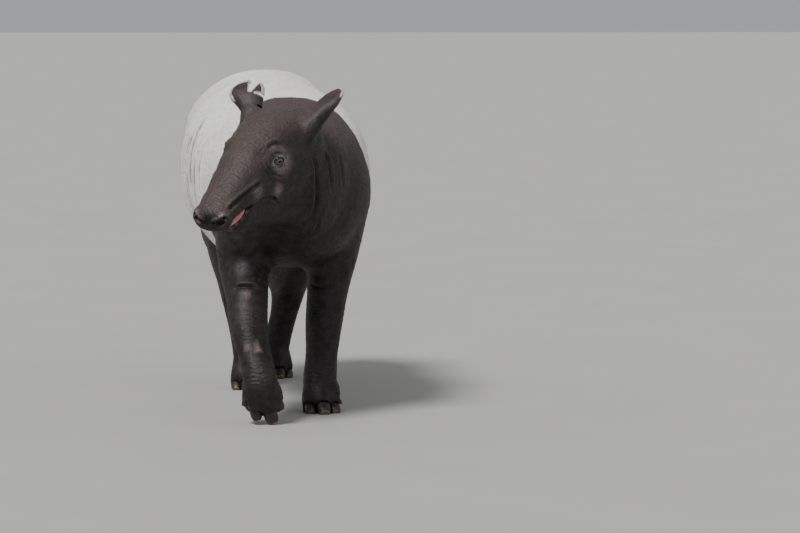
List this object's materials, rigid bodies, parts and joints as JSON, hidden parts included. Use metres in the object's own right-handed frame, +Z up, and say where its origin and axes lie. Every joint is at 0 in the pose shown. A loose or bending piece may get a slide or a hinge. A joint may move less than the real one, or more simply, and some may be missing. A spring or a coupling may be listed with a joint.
{
  "type": "malayan tapir, still life-size model",
  "caption": "Standing adult tapir in a walking stance, head turned to its right, with a short proboscis, dark front and legs, and a pale saddle.",
  "frame": {"origin": "middle of the base of the model's bounding box, on the floor it stands on", "axes": "+X is the animal's left, -Y is the way it walks, +Z is up"},
  "size_m": [0.5958, 1.7236, 1.0292],
  "materials": {
    "dark_hide": "short, flat black-brown hair with a faint sheen",
    "saddle_hide": "short, flat grey-white hair, matt, with fine creases",
    "eye": "wet, very glossy dark brown",
    "hoof": "dark horn, satin, paler at its edges",
    "tongue": "moist pink"
  },
  "bodies": {
    "root": {"head": "dark_hide", "ear_left": "dark_hide", "ear_right": "dark_hide", "eye_left": "eye", "eye_right": "eye", "tongue": "tongue", "neck": "dark_hide", "shoulders": "dark_hide", "torso": "saddle_hide", "tail": "saddle_hide", "foreleg_upper_left": "dark_hide", "foreleg_upper_right": "dark_hide", "foreleg_lower_left": "dark_hide", "foreleg_lower_right": "dark_hide", "forefoot_left": "dark_hide", "forefoot_right": "dark_hide", "thigh_left": "dark_hide", "thigh_right": "dark_hide", "shank_left": "dark_hide", "shank_right": "dark_hide", "hindfoot_left": "dark_hide", "hindfoot_right": "dark_hide", "hoof_fore_left_2": "hoof", "hoof_fore_left_3": "hoof", "hoof_fore_left_4": "hoof", "hoof_fore_left_5": "hoof", "hoof_fore_right_2": "hoof", "hoof_fore_right_3": "hoof", "hoof_fore_right_4": "hoof", "hoof_fore_right_5": "hoof", "hoof_hind_left_2": "hoof", "hoof_hind_left_3": "hoof", "hoof_hind_left_4": "hoof", "hoof_hind_right_2": "hoof", "hoof_hind_right_3": "hoof", "hoof_hind_right_4": "hoof"}
  },
  "joints": []
}
